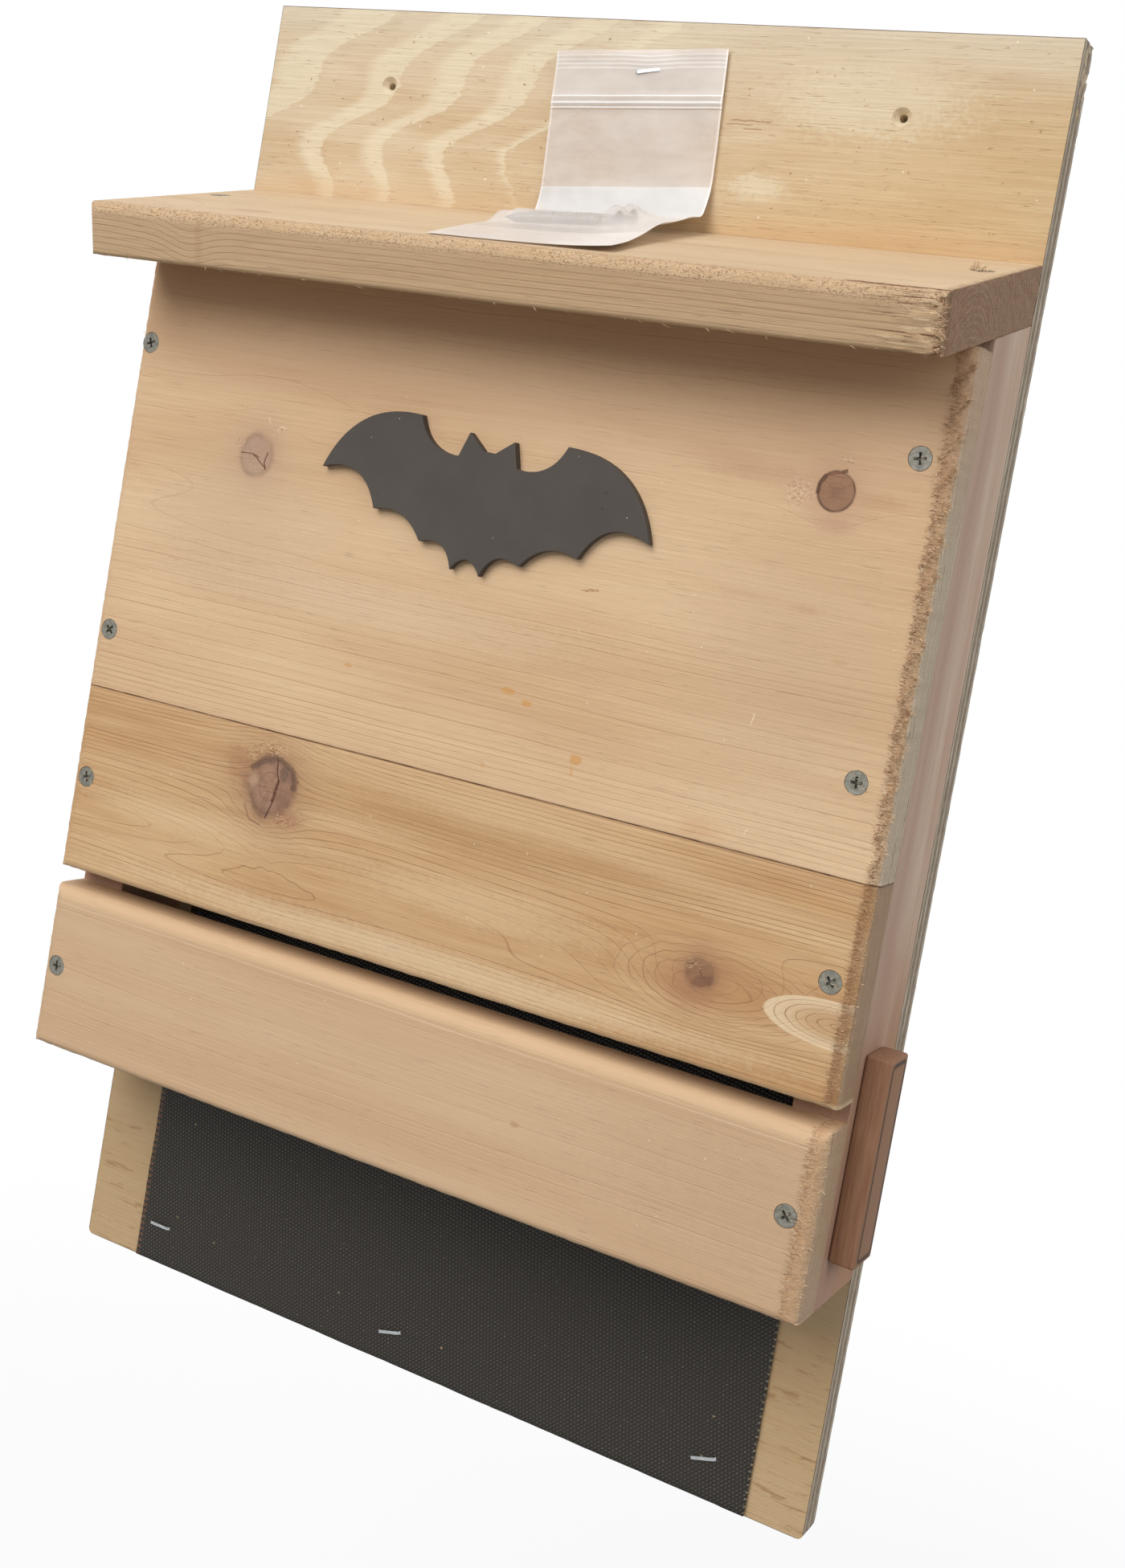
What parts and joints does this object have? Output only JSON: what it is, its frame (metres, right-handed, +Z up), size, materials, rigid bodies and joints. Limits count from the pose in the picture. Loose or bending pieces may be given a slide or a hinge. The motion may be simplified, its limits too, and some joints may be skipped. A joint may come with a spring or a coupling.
{
  "type": "bat box",
  "caption": "Wall-hung wooden bat box: plywood backboard, sloped roof, boarded chamber open below, vent slot, mesh landing pad and a clear bag with its screws.",
  "frame": {"origin": "on the backboard's back face, midway between the two fixing holes", "axes": "+X to the viewer's right, +Y into the wall, square to the backboard's back face, +Z up"},
  "size_m": [0.3656, 0.1148, 0.564],
  "materials": {
    "plywood": "sanded rotary-cut softwood plywood, bare, with wild yellowish grain",
    "rail_cedar": "sawn pinkish brown cedar, bare",
    "roof_cedar": "planed cedar, bare, rounded front edge with torn grain",
    "pale_cedar": "planed pinkish cedar, bare, knots and resin spots",
    "yellow_cedar": "planed yellow-brown cedar, bare, dense grain and knots",
    "slat_cedar": "planed clear pinkish cedar, bare",
    "black_mesh": "matt black woven polypropylene mesh",
    "dark_panel": "matt dark grey cut-out",
    "plaque_wood": "bare wood block with a burnt border line",
    "clear_film": "clear polyethylene film with a press-together zip",
    "zinc_steel": "dull zinc-plated steel",
    "bright_wire": "bright galvanised wire"
  },
  "bodies": {
    "root": {"backboard": "plywood", "left_rail": "rail_cedar", "right_rail": "rail_cedar", "roof_board": "roof_cedar", "upper_front_board": "pale_cedar", "lower_front_board": "yellow_cedar", "lower_slat": "slat_cedar", "landing_mesh": "black_mesh", "bat_figure": "dark_panel", "side_plaque": "plaque_wood", "hardware_bag": "clear_film", "upper_board_screw_1": "zinc_steel", "upper_board_screw_2": "zinc_steel", "upper_board_screw_3": "zinc_steel", "upper_board_screw_4": "zinc_steel", "lower_board_screw_1": "zinc_steel", "lower_board_screw_2": "zinc_steel", "slat_screw_1": "zinc_steel", "slat_screw_2": "zinc_steel", "back_screw_left_1": "zinc_steel", "back_screw_left_2": "zinc_steel", "back_screw_left_3": "zinc_steel", "back_screw_right_1": "zinc_steel", "back_screw_right_2": "zinc_steel", "back_screw_right_3": "zinc_steel", "roof_screw_left": "zinc_steel", "roof_screw_right": "zinc_steel", "mounting_screw_1": "zinc_steel", "mounting_screw_2": "zinc_steel", "mesh_staple_bottom_left": "bright_wire", "mesh_staple_bottom_centre": "bright_wire", "mesh_staple_bottom_right": "bright_wire", "mesh_staple_top_left": "bright_wire", "mesh_staple_top_centre": "bright_wire", "mesh_staple_top_right": "bright_wire", "bag_staple": "bright_wire"}
  },
  "joints": []
}
